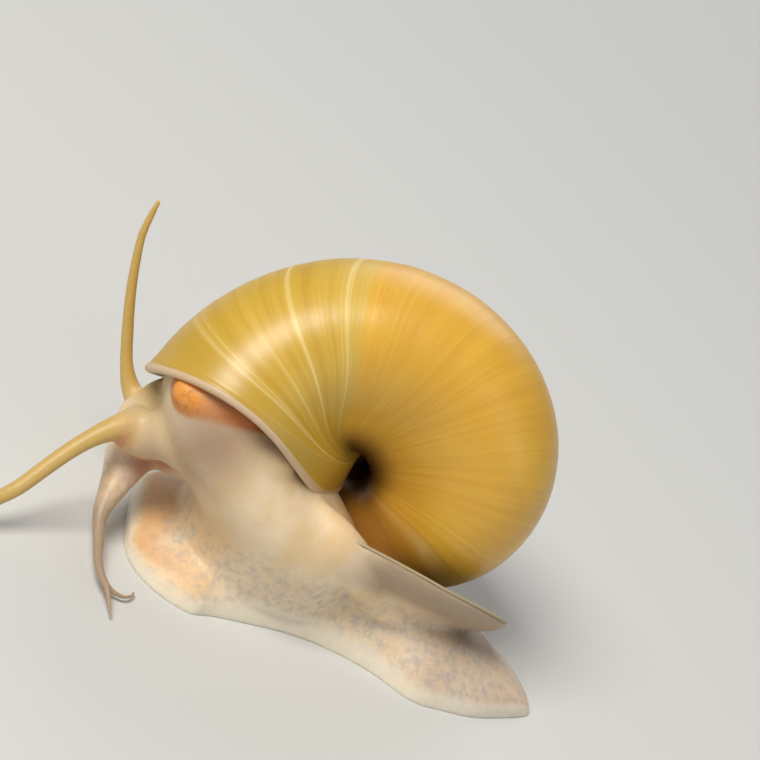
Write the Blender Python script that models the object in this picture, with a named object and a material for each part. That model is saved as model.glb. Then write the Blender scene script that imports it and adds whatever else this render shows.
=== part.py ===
"""Golden apple snail, life size, resting on the sole of its foot.

Lengths in this file are millimetres and become metres at the end.
The snail faces -X, its left side faces -Y, and the sole lies on z = 0.
"""

import math

import bmesh
import bpy
import numpy as np
from mathutils import Matrix

MILLIMETRE = 0.001
GAP = 0.3

# Shell: a log spiral round an axis that runs from the base to the apex.
SHELL_AXIS = (0.442, 0.835, -0.328)
SHELL_ZERO = (0.873, 0.016, 0.487)
UMBILICUS = (3.8, -13.4, 23.2)
WHORL_GROWTH = 2.65
LAST_TURN = 148.4
LIP_ADVANCE = 3.1
LIP_BOW = 2.6
LIP_LEAD = 0.8
LIP_LEAD_TURN = math.radians(325)
LIP_END_DRAW = 1.2
LIP_END_TURN = math.radians(165)
UMBILICUS_DRAW = 4.7
SECTION_RADIUS = 12.4
SECTION_WIDTH = 21.0
SECTION_HEIGHT = 27.2
SECTION_DROP = 29.8
WHORLS = 3.4
SHELL_WALL = 0.9
CAVITY_TURN = 70.0

RING = 26
SHELL_RING = 26

# Foot: distance along X, half width, height of the back.
FOOT_STATIONS = (
    (-8.5, 3.0, 1.5, 0.6),
    (-7.9, 6.4, 2.4, 0.4),
    (-6.9, 8.3, 3.1, 0.3),
    (-5.4, 9.7, 4.0, 0.2),
    (-3.2, 10.8, 4.9, 0.0),
    (-0.3, 11.1, 5.9, 0.0),
    (1.8, 9.9, 6.6, 0.0),
    (5.0, 8.6, 7.4, 0.0),
    (9.5, 7.0, 8.2, 0.0),
    (14.0, 6.3, 8.2, 0.0),
    (19.0, 6.9, 7.2, 0.0),
    (23.5, 8.5, 6.0, 0.0),
    (27.0, 7.9, 5.0, 0.2),
    (30.5, 6.7, 3.8, 0.3),
    (33.5, 4.4, 2.7, 0.0),
    (35.6, 2.3, 1.7, -0.5),
    (36.9, 0.9, 1.0, -0.9),
)
RIM_THICKNESS = 1.3

# Level ovals of the trunk: height, middle x, middle y, half length, half width.
TRUNK = (
    (2.0, 4.2, 0.0, 9.8, 8.2),
    (5.0, 4.6, -0.2, 9.4, 8.7),
    (8.0, 4.2, -0.5, 9.2, 9.2),
    (11.0, 1.8, -0.8, 9.4, 9.2),
    (14.0, -2.0, -0.4, 9.2, 9.2),
    (18.0, -5.2, 1.0, 7.6, 9.6),
    (22.0, -6.0, 2.5, 7.0, 10.6),
    (26.0, -5.6, 3.5, 6.8, 9.6),
)

# Paths with a radius at each point: x, y, z, radius.
HEAD = (
    (-2.0, 1.0, 14.5, 6.0),
    (-7.5, 0.5, 13.3, 5.0),
    (-10.4, 0.1, 12.1, 4.1),
    (-12.6, -0.5, 11.3, 3.0),
    (-14.0, -0.9, 10.8, 1.6),
)
THROAT = (
    (-11.0, -0.6, 9.9, 1.9),
    (-8.6, -0.6, 10.4, 2.2),
    (-5.6, -0.4, 11.4, 2.8),
)
CHEEK = (-11.5, -3.4, 10.9)
SNOUT = (
    (-11.0, 0.2, 11.0, 2.6),
    (-11.4, -0.4, 8.8, 2.7),
    (-11.4, -1.0, 6.6, 2.4),
    (-11.3, -1.3, 5.0, 1.7),
)
TENTACLE_LEFT = (
    (-12.4, -2.6, 11.8, 1.9),
    (-14.2, -4.3, 11.3, 1.4),
    (-15.9, -5.6, 10.1, 0.95),
    (-17.5, -7.0, 8.4, 0.82),
    (-19.1, -8.8, 6.3, 0.78),
    (-20.5, -10.6, 4.5, 0.75),
    (-21.8, -12.0, 3.4, 0.7),
    (-23.6, -14.2, 2.5, 0.6),
    (-25.2, -16.8, 2.0, 0.45),
    (-26.4, -19.4, 1.8, 0.28),
)
TENTACLE_RIGHT = (
    (-11.8, 2.4, 10.4, 1.8),
    (-13.6, 3.4, 10.9, 1.1),
    (-15.3, 4.2, 12.8, 0.68),
    (-16.8, 5.0, 15.8, 0.6),
    (-18.2, 5.6, 19.1, 0.54),
    (-19.2, 6.0, 22.0, 0.48),
    (-20.0, 6.3, 24.9, 0.42),
    (-20.2, 6.5, 27.2, 0.36),
    (-20.2, 6.6, 28.8, 0.26),
)
PALP_LEFT = (
    (-11.8, -2.2, 7.6, 1.7),
    (-12.6, -4.0, 6.4, 1.3),
    (-12.4, -5.6, 5.0, 0.95),
    (-12.2, -7.1, 3.6, 0.72),
    (-11.8, -9.0, 2.6, 0.6),
    (-11.2, -11.2, 2.0, 0.52),
    (-10.4, -13.4, 1.5, 0.45),
    (-9.4, -15.2, 1.1, 0.42),
    (-8.6, -17.2, 0.8, 0.34),
    (-8.4, -18.0, 0.6, 0.26),
)
PALP_RIGHT = (
    (-11.8, 0.6, 7.0, 1.5),
    (-12.4, 0.6, 4.6, 1.1),
    (-12.4, -0.8, 2.4, 0.8),
    (-12.0, -3.6, 1.2, 0.62),
    (-11.2, -7.0, 0.9, 0.52),
    (-9.8, -10.6, 0.75, 0.46),
    (-8.3, -13.0, 0.6, 0.4),
    (-7.1, -13.2, 0.55, 0.36),
    (-6.5, -12.2, 0.5, 0.3),
)
SIPHON = (
    (-12.5, -6.6, 19.1, 1.0),
    (-11.2, -6.7, 19.0, 1.6),
    (-9.6, -6.9, 19.0, 1.95),
    (-7.4, -7.0, 19.3, 2.0),
    (-5.4, -6.8, 19.8, 1.7),
    (-3.9, -6.4, 20.4, 1.0),
)
EYE_STALK_LEFT = (-13.0, -4.0, 10.3)
EYE_STALK_RIGHT = (-12.4, 3.7, 10.6)
EYE_LEFT = (-13.7, -4.9, 10.4)
EYE_RIGHT = (-13.1, 4.6, 10.8)
EYE_RADIUS = 0.55

# Operculum: an oval plate on the back of the tail, its left edge raised.
PLATE_CENTRE = (16.3, -1.1, 7.6)
PLATE_LENGTH = 27.0
PLATE_WIDTH = 16.5
PLATE_ROLL = 0.62
PLATE_PITCH = 0.05
PLATE_LIFT = 0.85
PLATE_LEVELS = (
    (-0.95, 0.15),
    (-0.85, 0.4),
    (-0.45, 0.7),
    (0.05, 0.9),
    (0.3, 0.98),
    (0.15, 1.0),
    (-0.45, 0.94),
    (-1.1, 0.7),
    (-1.6, 0.4),
    (-1.75, 0.15),
)
LOBE_LEVELS = ((-0.3, 0.9), (-0.9, 0.97), (-1.8, 0.95), (-2.6, 0.84), (-3.4, 0.6), (-4.4, 0.42))
SEAT_LEVELS = (
    (2.5, 1.05),
    (0.3, 1.03),
    (-0.15, 1.03),
    (-0.75, 0.95),
    (-1.4, 0.7),
    (-1.9, 0.4),
    (-2.05, 0.15),
)

# Thin cuts between pieces: middle, two directions in the cut, and half the length of each.
CUTS = {
    "cut_neck": ((2.9, 0.0, 9.5), (1.0, 0.0, 0.2), (0.0, 1.0, 0.0), 10.7, 14.0),
    "cut_foot_front": ((1.5, 0.0, 4.1), (0.0, 1.0, 0.0), (0.0, 0.0, 1.0), 14.0, 5.1),
    "cut_foot_back": ((13.2, 0.0, 8.0), (0.0, 1.0, 0.0), (0.0, 0.0, 1.0), 14.0, 10.0),
    "cut_head": ((-10.5, 0.0, 12.3), (-0.5, 0.0, 1.0), (0.0, 1.0, 0.0), 6.0, 9.0),
    "cut_tentacle_left": ((-15.4, -5.2, 10.5), (0.5, -0.9, 0.3), (-0.4, 0.1, 0.9), 2.0, 2.0),
    "cut_tentacle_left_tip": ((-20.5, -10.6, 4.5), (0.8, -0.6, 0.0), (-0.4, -0.5, 0.8), 2.0, 2.0),
    "cut_tentacle_right": ((-14.4, 3.8, 11.8), (0.8, 0.0, 0.6), (0.0, 1.0, -0.3), 1.7, 1.7),
    "cut_tentacle_right_tip": ((-18.8, 5.8, 20.6), (1.0, 0.0, 0.3), (0.0, 1.0, -0.1), 1.5, 1.5),
    "cut_palp_left": ((-12.5, -5.1, 5.5), (1.0, 0.0, 0.0), (0.0, 0.7, -0.7), 1.6, 1.7),
    "cut_palp_right": ((-12.45, 0.3, 3.9), (1.0, 0.0, 0.0), (0.0, 1.0, -0.2), 1.7, 1.7),
    "cut_lobe": ((24.9, -1.2, 5.3), (1.0, 0.0, -0.05), (0.0, 1.0, -0.62), 12.9, 16.0),
}
SEEDS = {
    "foot_front": (-4.0, 0.0, 2.5),
    "foot_middle": (7.0, 0.0, 3.5),
    "foot_tail": (24.0, 0.0, 2.5),
    "opercular_lobe": (20.0, 0.0, 8.0),
    "neck": (-2.0, 0.5, 16.0),
    "head": (-12.5, -0.5, 10.0),
    "tentacle_left": (-18.0, -7.8, 7.5),
    "tentacle_left_tip": (-24.0, -15.0, 2.5),
    "tentacle_right": (-17.0, 4.9, 16.0),
    "tentacle_right_tip": (-19.8, 6.2, 25.0),
    "palp_left": (-11.0, -12.0, 2.0),
    "palp_right": (-10.5, -7.0, 1.0),
}


def unit(vector):
    vector = np.array(vector, float)
    return vector / np.linalg.norm(vector)


def shell_frame():
    axis = unit(SHELL_AXIS)
    zero = np.array(SHELL_ZERO)
    zero = unit(zero - axis * zero.dot(axis))
    quarter = np.cross(-axis, zero)
    return zero, quarter, axis


def section_point(turn, grow):
    """One point of the full-size whorl section, as radius and height from the apex."""
    half_width = SECTION_WIDTH / 2 + grow
    half_height = SECTION_HEIGHT / 2 + grow
    across = math.cos(turn)
    along = math.sin(turn)
    square = 0.78 if along > 0 and across > 0 else 1.0
    across = math.copysign(abs(across) ** square, across)
    along = math.copysign(abs(along) ** square, along)
    radius = SECTION_RADIUS + half_width * across - 1.2 * along
    height = -SECTION_DROP + half_height * along
    return radius, height


def eased(value, low, high):
    """A smooth step from 0 to 1 between two values."""
    share = min(1.0, max(0.0, (value - low) / (high - low)))
    return share * share * (3 - 2 * share)


def turn_gap(turn, middle):
    return abs((turn - middle + math.pi) % (2 * math.pi) - math.pi)


def shell_ring(angle, grow=0.0, advance=0.0):
    """A ring of the spiral at this many degrees before the lip, which is 0.

    The last turn's inner edge is drawn over the umbilicus, and the lip's inner end
    is drawn down beside it.
    """
    zero, quarter, axis = shell_frame()
    size = WHORL_GROWTH ** (-angle / 360.0)
    turn = math.radians(LAST_TURN - angle)
    outward = zero * math.cos(turn) + quarter * math.sin(turn)
    forward = quarter * math.cos(turn) - zero * math.sin(turn)
    apex = np.array(UMBILICUS) + axis * (SECTION_DROP + SECTION_HEIGHT / 2 - 1.5)
    last_turn = 0.25 + 0.75 * eased(angle, -10.0, 100.0)
    last_turn *= 1 - eased(angle, 300.0, 420.0)
    points = []
    for step in range(SHELL_RING):
        around = 2 * math.pi * step / SHELL_RING
        lead = math.exp(-((turn_gap(around, LIP_LEAD_TURN) / 0.7) ** 2))
        flare = 0.5 * LIP_LEAD * lead if advance else 0.0
        radius, height = section_point(around, (grow + flare) / size)
        point = apex + size * (outward * radius + axis * height)
        if advance:
            bow = LIP_BOW * max(0.0, -math.sin(around)) ** 1.3
            point = point + forward * (advance - bow + LIP_LEAD * lead)
        near_axis = math.exp(-((size * radius / 6.0) ** 2))
        base_side = eased(-math.sin(around), -0.6, 0.3)
        point = point - zero * UMBILICUS_DRAW * last_turn * near_axis * base_side
        lip_end = math.exp(-((turn_gap(around, LIP_END_TURN) / 0.85) ** 2))
        lip_end *= LIP_END_DRAW * (1 - eased(angle, 0.0, 60.0))
        points.append(point - (zero * 0.25 + quarter * 0.97) * lip_end)
    return points


def mesh_object(name, points, faces):
    mesh = bpy.data.meshes.new(name)
    mesh.from_pydata([tuple(point) for point in points], [], faces)
    mesh.update()
    obj = bpy.data.objects.new(name, mesh)
    bpy.context.collection.objects.link(obj)
    work = bmesh.new()
    work.from_mesh(mesh)
    bmesh.ops.triangulate(work, faces=work.faces)
    bmesh.ops.recalc_face_normals(work, faces=work.faces)
    if work.calc_volume(signed=True) < 0:
        bmesh.ops.reverse_faces(work, faces=work.faces)
    work.to_mesh(mesh)
    work.free()
    return obj


def loft(name, rings):
    """A closed body through rings of equal count, with a fan over each end."""
    count = len(rings[0])
    points = [point for ring in rings for point in ring]
    faces = []
    for level in range(len(rings) - 1):
        for step in range(count):
            after = (step + 1) % count
            low = level * count
            high = low + count
            faces.append((low + step, low + after, high + after, high + step))
    for ring_index in (0, len(rings) - 1):
        middle = len(points)
        points.append(np.mean(rings[ring_index], axis=0))
        start = ring_index * count
        for step in range(count):
            faces.append((start + step, start + (step + 1) % count, middle))
    return mesh_object(name, points, faces)


def smooth_path(points, steps):
    """Points along a curve through these points, with values carried along."""
    points = np.array(points, float)
    padded = np.vstack([2 * points[0] - points[1], points, 2 * points[-1] - points[-2]])
    path = []
    for index in range(len(points) - 1):
        before, start, end, after = padded[index : index + 4]
        for step in range(steps):
            share = step / steps
            path.append(
                0.5
                * (
                    2 * start
                    + (end - before) * share
                    + (2 * before - 5 * start + 4 * end - after) * share**2
                    + (3 * start - before - 3 * end + after) * share**3
                )
            )
    path.append(points[-1])
    return np.array(path)


def tube_rings(stations, steps=4, ring=16, flat=1.0, side=(0.0, 0.0, 1.0)):
    """Rings round a path. Each station is x, y, z and radius."""
    path = smooth_path(stations, steps)
    rings = []
    for index in range(len(path)):
        ahead = path[min(index + 1, len(path) - 1), :3]
        behind = path[max(index - 1, 0), :3]
        along = unit(ahead - behind)
        across = unit(np.cross(along, side))
        over = np.cross(across, along)
        radius = path[index, 3]
        rings.append(
            [
                path[index, :3]
                + across * radius * math.cos(2 * math.pi * step / ring)
                + over * radius * flat * math.sin(2 * math.pi * step / ring)
                for step in range(ring)
            ]
        )
    return rings


def foot_ring(station):
    """A section of the foot across X: flat sole, round rims and a domed back."""
    along, half_width, height, middle = station
    rim = min(RIM_THICKNESS, height * 0.7)
    points = []
    for step in range(RING):
        share = step / RING
        if share < 0.25:
            flat = 1 - share / 0.125
            points.append((along, middle + flat * (half_width - 0.5 * rim), 0.0))
        else:
            turn = math.pi * (share - 0.25) / 0.75
            across = -math.cos(turn)
            lift = math.sin(turn)
            edge = abs(across) ** 0.8
            width = math.copysign(edge, across) * half_width
            dome = (height - rim) * (1 - abs(width / half_width) ** 2.2)
            rise = rim * min(1.0, lift * 2.2) * 0.85
            points.append((along, middle + width, 0.15 * rim + rise + dome))
    return [np.array(point) for point in points]


def foot_body(name):
    stations = smooth_path(FOOT_STATIONS, 2)
    return loft(name, [foot_ring(station) for station in stations])


def squarer(value):
    """Makes an oval a little fuller at its corners."""
    return math.copysign(abs(value) ** 0.85, value)


def oval_rings(stations, ring=RING, steps=3):
    """Level ovals. Each station is z, middle x, middle y, half length, half width."""
    path = smooth_path(stations, steps)
    rings = []
    for height, middle_x, middle_y, half_length, half_width in path:
        rings.append(
            [
                np.array(
                    (
                        middle_x + half_length * squarer(math.cos(2 * math.pi * step / ring)),
                        middle_y + half_width * squarer(math.sin(2 * math.pi * step / ring)),
                        height,
                    )
                )
                for step in range(ring)
            ]
        )
    return rings


def joined(target, others, operation="UNION", solver="MANIFOLD"):
    """Applies one Boolean of a whole collection to the target."""
    group = bpy.data.collections.new(target.name + "_cutters")
    bpy.context.scene.collection.children.link(group)
    for other in others:
        for collection in list(other.users_collection):
            collection.objects.unlink(other)
        group.objects.link(other)
    modifier = target.modifiers.new("join", "BOOLEAN")
    modifier.operand_type = "COLLECTION"
    modifier.collection = group
    modifier.operation = operation
    modifier.solver = solver
    graph = bpy.context.evaluated_depsgraph_get()
    mesh = bpy.data.meshes.new_from_object(target.evaluated_get(graph))
    target.modifiers.clear()
    target.data = mesh
    for other in others:
        bpy.data.objects.remove(other)
    bpy.data.collections.remove(group)
    return target


def clean(obj):
    work = bmesh.new()
    work.from_mesh(obj.data)
    bmesh.ops.triangulate(work, faces=work.faces)
    work.to_mesh(obj.data)
    work.free()
    return obj


def islands(obj):
    """The separate closed surfaces of a mesh, as lists of face indices, largest first."""
    work = bmesh.new()
    work.from_mesh(obj.data)
    work.faces.ensure_lookup_table()
    seen = set()
    found = []
    for face in work.faces:
        if face.index in seen:
            continue
        stack = [face]
        seen.add(face.index)
        group = []
        while stack:
            current = stack.pop()
            group.append(current.index)
            for edge in current.edges:
                for other in edge.link_faces:
                    if other.index not in seen:
                        seen.add(other.index)
                        stack.append(other)
        found.append(group)
    work.free()
    return sorted(found, key=len, reverse=True)


def piece(obj, name, group):
    """A new object from some of the faces of another."""
    used = {}
    points = []
    faces = []
    for index in group:
        face = []
        for vertex in obj.data.polygons[index].vertices:
            if vertex not in used:
                used[vertex] = len(points)
                points.append(obj.data.vertices[vertex].co[:])
            face.append(used[vertex])
        faces.append(face)
    return mesh_object(name, points, faces)


def copied(obj):
    twin = obj.copy()
    twin.data = obj.data.copy()
    bpy.context.collection.objects.link(twin)
    return twin


def keep_largest(obj):
    name = obj.name
    group = islands(obj)[0]
    obj.name = name + "_whole"
    largest = piece(obj, name, group)
    bpy.data.objects.remove(obj)
    return largest


def slab(name, middle, first, second, half_first, half_second):
    """A thin block that parts two pieces of flesh."""
    first = unit(first)
    normal = unit(np.cross(first, second))
    second = np.cross(normal, first)
    corners = []
    for lift in (-0.5, 0.5):
        for over in (-1, 1):
            for along in (-1, 1):
                corners.append(
                    np.array(middle)
                    + normal * GAP * lift
                    + first * half_first * along
                    + second * half_second * over
                )
    faces = [(0, 1, 3, 2), (4, 6, 7, 5), (0, 4, 5, 1), (2, 3, 7, 6), (0, 2, 6, 4), (1, 5, 7, 3)]
    return mesh_object(name, corners, faces)


def whorl_tube(name, start, end, grow=0.0, advance=0.0, step=8.0):
    """A closed length of the spiral between two angles before the lip."""
    count = max(3, int(round((end - start) / step)) + 1)
    rings = [shell_ring(angle, grow) for angle in np.linspace(start, end, count)]
    if advance:
        rings.insert(0, shell_ring(start, grow, advance))
    return loft(name, rings)


def shell_whole(name, grow=0.0, cavity=True):
    """The shell, or with grow the room that has to stay clear round it."""
    body = whorl_tube(name, 0.0, 190.0, grow, LIP_ADVANCE + grow, 9.0)
    if cavity:
        hollow = whorl_tube(name + "_hollow", 0.0, CAVITY_TURN, -SHELL_WALL - grow, LIP_ADVANCE + 4.0, 10.0)
        joined(body, [hollow], "DIFFERENCE")
    others = []
    start = 170.0
    while start < 360.0 * WHORLS:
        end = min(start + 190.0, 360.0 * WHORLS)
        others.append(whorl_tube(name + "_%d" % start, start, end, grow, 0.0, 14.0))
        start = end - 20.0
        if end >= 360.0 * WHORLS:
            break
    joined(body, others)
    return keep_largest(clean(body))


def plate_frame():
    """Centre and three directions of the operculum, its length, width and outer face."""
    across = unit((0.0, 1.0, -PLATE_ROLL))
    along = unit((1.0, 0.0, -PLATE_PITCH))
    out = unit(np.cross(along, across))
    across = np.cross(out, along)
    return np.array(PLATE_CENTRE), along, across, out


def plate_ring(depth, size, ring=30):
    """An oval level with the operculum, blunt in front and narrower behind."""
    middle, along, across, out = plate_frame()
    points = []
    for step in range(ring):
        turn = 2 * math.pi * step / ring
        narrow = 1.0 - 0.14 * math.cos(turn)
        near = max(0.0, 0.35 - math.sin(turn)) / 1.35
        rear = max(0.0, math.cos(turn) - 0.3) / 0.7
        rear *= 1.1 + 0.6 * max(0.0, math.sin(turn))
        lift = size**3 * (PLATE_LIFT * near * (1 - 0.7 * min(rear, 1.0)) + rear)
        points.append(
            middle
            + along * size * 0.5 * PLATE_LENGTH * math.cos(turn)
            + across * size * 0.5 * PLATE_WIDTH * narrow * math.sin(turn)
            + out * (depth + lift)
        )
    return points


def ball(name, middle, radii, turns=16):
    rings = []
    for level in range(1, turns // 2):
        tilt = math.pi * level / (turns // 2)
        rings.append(
            [
                np.array(
                    (
                        middle[0] + radii[0] * math.sin(tilt) * math.cos(2 * math.pi * step / turns),
                        middle[1] + radii[1] * math.sin(tilt) * math.sin(2 * math.pi * step / turns),
                        middle[2] + radii[2] * math.cos(tilt),
                    )
                )
                for step in range(turns)
            ]
        )
    return loft(name, rings)


def clear_scene():
    for obj in list(bpy.data.objects):
        bpy.data.objects.remove(obj)


def flesh_parts():
    """Every closed form that is joined into the body."""
    return [
        loft("trunk", oval_rings(TRUNK)),
        loft("head_form", tube_rings(HEAD, 3, 20, 0.8)),
        loft("snout_form", tube_rings(SNOUT, 3, 18, 1.0, (1.0, 0.0, 0.0))),
        loft("throat_form", tube_rings(THROAT, 2, 16)),
        ball("cheek_form", CHEEK, (2.7, 2.2, 2.2)),
        loft("tentacle_left_form", tube_rings(TENTACLE_LEFT, 2, 12)),
        loft("tentacle_right_form", tube_rings(TENTACLE_RIGHT, 2, 12, 1.0, (0.0, 1.0, 0.0))),
        loft("palp_left_form", tube_rings(PALP_LEFT, 2, 12)),
        loft("palp_right_form", tube_rings(PALP_RIGHT, 2, 12)),
        ball("eye_stalk_left_form", EYE_STALK_LEFT, (1.5, 1.4, 1.4)),
        ball("eye_stalk_right_form", EYE_STALK_RIGHT, (1.5, 1.4, 1.4)),
        loft("lobe_form", [plate_ring(depth, size) for depth, size in LOBE_LEVELS]),
    ]


def parted(flesh):
    """Cuts the body with thin blocks and names each piece after the seed nearest to it."""
    joined(flesh, [slab(name, *where) for name, where in CUTS.items()], "DIFFERENCE")
    clean(flesh)
    groups = islands(flesh)[: len(SEEDS)]
    parts = [piece(flesh, "flesh_%d" % index, group) for index, group in enumerate(groups)]
    distances = []
    for part in parts:
        points = np.array([vertex.co[:] for vertex in part.data.vertices])
        middle = (points.min(axis=0) + points.max(axis=0)) / 2
        for seed, where in SEEDS.items():
            distances.append((np.linalg.norm(np.array(where) - middle), seed, part))
    named = set()
    for _, seed, part in sorted(distances, key=lambda entry: entry[0]):
        if seed not in named and part.name.startswith("flesh_"):
            part.name = seed
            named.add(seed)
    bpy.data.objects.remove(flesh)
    return parts


def siphon_body(name, grow=0.0):
    stations = [station[:3] + (station[3] + grow,) for station in SIPHON]
    return loft(name, tube_rings(stations, 3, 16, 1.0, (0.0, 1.0, 0.0)))


def main():
    clear_scene()
    shell = shell_whole("shell")
    flesh = foot_body("flesh")
    joined(flesh, flesh_parts())
    room = shell_whole("room", GAP)
    siphon = siphon_body("siphon")
    joined(siphon, [copied(room)], "DIFFERENCE")
    siphon = keep_largest(clean(siphon))
    plate = loft("operculum", [plate_ring(depth, size) for depth, size in PLATE_LEVELS])
    eyes = [
        ball("eye_left", EYE_LEFT, (EYE_RADIUS,) * 3, 14),
        ball("eye_right", EYE_RIGHT, (EYE_RADIUS,) * 3, 14),
    ]
    cutters = [
        room,
        siphon_body("siphon_room", GAP),
        ball("socket_left", EYE_LEFT, (EYE_RADIUS + 0.12,) * 3, 14),
        ball("socket_right", EYE_RIGHT, (EYE_RADIUS + 0.12,) * 3, 14),
        loft("seat", [plate_ring(depth, size) for depth, size in SEAT_LEVELS]),
    ]
    joined(flesh, cutters, "DIFFERENCE")
    flesh = keep_largest(clean(flesh))
    pieces = parted(flesh)
    for obj in [shell, plate, siphon] + eyes + pieces:
        obj.data.transform(Matrix.Scale(MILLIMETRE, 4))


if __name__ == "__main__":
    main()
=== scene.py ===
"""Golden apple snail: the look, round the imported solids."""

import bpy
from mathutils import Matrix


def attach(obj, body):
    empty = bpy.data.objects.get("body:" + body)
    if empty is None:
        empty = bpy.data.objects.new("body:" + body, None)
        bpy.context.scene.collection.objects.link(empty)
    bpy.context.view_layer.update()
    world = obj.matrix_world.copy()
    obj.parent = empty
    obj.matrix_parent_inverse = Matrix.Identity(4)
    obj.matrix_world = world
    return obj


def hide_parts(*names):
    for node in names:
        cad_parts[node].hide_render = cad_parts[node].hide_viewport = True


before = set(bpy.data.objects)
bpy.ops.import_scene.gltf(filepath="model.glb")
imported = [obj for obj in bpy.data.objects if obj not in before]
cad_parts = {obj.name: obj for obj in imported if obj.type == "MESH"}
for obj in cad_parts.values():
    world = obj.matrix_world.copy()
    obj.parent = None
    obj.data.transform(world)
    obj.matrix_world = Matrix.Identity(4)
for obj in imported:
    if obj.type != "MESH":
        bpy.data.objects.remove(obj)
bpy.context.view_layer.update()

import math

import bmesh
import bpy
import numpy as np
from mathutils import Matrix, Vector, noise

# Every size and place below is in millimetres; the meshes are scaled to metres at the end.
MILLIMETRE = 0.001
VOXEL = 0.17
SMOOTH_ROUNDS = 46
FOLD_ROUNDS = 210
SHELL_STEP = 0.8

# Shell: a log spiral round an axis that runs from the base to the apex.
SHELL_AXIS = (0.442, 0.835, -0.328)
SHELL_ZERO = (0.873, 0.016, 0.487)
UMBILICUS = (3.8, -13.4, 23.2)
WHORL_GROWTH = 2.65
LAST_TURN = 148.4
LIP_ADVANCE = 3.1
LIP_BOW = 2.6
LIP_LEAD = 1.0
LIP_LEAD_TURN = math.radians(325)
LIP_LEAD_SPREAD = 0.7
LIP_FLARE = 0.15
LIP_BEAD = 0.5
UMBILICUS_DRAW = 4.9
UMBILICUS_REACH = 6.0
LIP_END_DRAW = 1.2
LIP_END_TURN = math.radians(165)
LIP_END_SPREAD = 0.85
APEX_DEPTH = 1.5
SECTION_RADIUS = 12.4
SECTION_WIDTH = 21.0
SECTION_HEIGHT = 27.2
SECTION_DROP = 29.8
SECTION_SLANT = 1.2
SHOULDER_SQUARE = 0.78
WHORLS = 3.4
SHELL_WALL = 0.8
CAVITY_TURN = 110.0
FLESH_TURN = 150.0
FLESH_REACH = 0.90

# Foot sections: place along X, half width, height and middle Y.
FOOT_STATIONS = (
    (-8.6, 2.4, 1.3, 0.6),
    (-8.4, 4.6, 1.8, 0.5),
    (-7.9, 6.6, 2.4, 0.4),
    (-7.0, 8.2, 3.1, 0.3),
    (-5.7, 9.5, 3.9, 0.2),
    (-4.0, 10.5, 4.6, 0.1),
    (-2.0, 11.0, 5.3, 0.0),
    (-0.3, 11.1, 5.9, 0.0),
    (1.6, 10.0, 6.5, 0.0),
    (5.0, 8.6, 7.4, 0.0),
    (9.5, 7.0, 8.2, 0.0),
    (14.0, 6.3, 8.2, 0.0),
    (19.0, 6.9, 7.2, 0.0),
    (23.5, 8.5, 6.0, 0.0),
    (27.0, 7.9, 5.0, 0.2),
    (30.5, 6.7, 3.8, 0.3),
    (33.5, 4.4, 2.7, 0.0),
    (35.6, 2.3, 1.7, -0.5),
    (36.9, 0.8, 0.9, -0.9),
)
RIM_THICKNESS = 1.3
SOLE_SETTLE = 0.34

# Trunk sections: height, middle X and Y, half length and half width.
TRUNK = (
    (2.0, 4.2, 0.0, 9.8, 8.2),
    (5.0, 4.6, -0.2, 9.4, 8.7),
    (8.0, 4.2, -1.1, 9.2, 8.8),
    (11.0, 1.0, -1.9, 9.2, 8.8),
    (14.0, -2.8, -1.2, 8.6, 9.4),
    (18.0, -6.2, 0.2, 6.8, 9.4),
    (22.0, -7.0, 2.5, 6.2, 10.2),
    (26.0, -6.4, 3.5, 6.0, 9.2),
)

# Every other soft form is a path of X, Y, Z and radius.
HEAD = (
    (-2.0, 1.0, 14.5, 6.0),
    (-7.5, 0.5, 13.3, 5.0),
    (-10.4, 0.1, 12.1, 4.1),
    (-12.0, -0.6, 11.2, 2.8),
)
FLANK = (
    (4.4, -4.4, 12.2, 1.6),
    (6.2, -5.4, 12.0, 2.0),
    (8.4, -6.1, 11.4, 2.3),
    (10.6, -6.3, 10.4, 2.3),
    (12.8, -6.0, 9.0, 2.1),
    (15.0, -5.4, 7.6, 1.7),
    (17.0, -4.6, 6.6, 1.2),
)
NECK = (
    (-11.4, -3.0, 11.9, 2.0),
    (-9.6, -4.0, 12.7, 2.7),
    (-7.4, -4.8, 13.6, 3.4),
    (-4.6, -5.4, 14.8, 3.9),
    (-1.5, -5.6, 15.6, 3.6),
)
CHEEK = (-11.5, -3.4, 10.9)
CHEEK_RADII = (2.7, 2.2, 2.2)
SNOUT = (
    (-10.8, 0.4, 10.6, 2.7),
    (-11.4, -0.6, 8.9, 2.7),
    (-11.6, -1.6, 6.9, 2.4),
    (-11.7, -2.8, 5.7, 1.85),
    (-11.9, -4.2, 4.8, 1.35),
)
THROAT = (
    (-11.0, -0.6, 9.4, 2.2),
    (-8.6, -0.6, 9.6, 2.6),
    (-5.6, -0.4, 10.4, 3.2),
)
TENTACLE_LEFT = (
    (-12.4, -2.6, 11.8, 1.9),
    (-14.2, -4.3, 11.3, 1.4),
    (-15.9, -5.6, 10.1, 0.95),
    (-17.5, -7.0, 8.4, 0.82),
    (-19.1, -8.8, 6.3, 0.78),
    (-20.5, -10.6, 4.5, 0.75),
    (-21.8, -12.0, 3.4, 0.7),
    (-23.6, -14.2, 2.5, 0.6),
    (-25.2, -16.8, 2.0, 0.45),
    (-26.4, -19.4, 1.8, 0.28),
)
TENTACLE_RIGHT = (
    (-11.8, 2.4, 10.4, 1.8),
    (-13.6, 3.4, 10.9, 1.1),
    (-15.3, 4.2, 12.8, 0.68),
    (-16.8, 5.0, 15.8, 0.6),
    (-18.2, 5.6, 19.1, 0.54),
    (-19.2, 6.0, 22.0, 0.48),
    (-20.0, 6.3, 24.9, 0.42),
    (-20.2, 6.5, 27.2, 0.36),
    (-20.2, 6.6, 28.8, 0.26),
)
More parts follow.
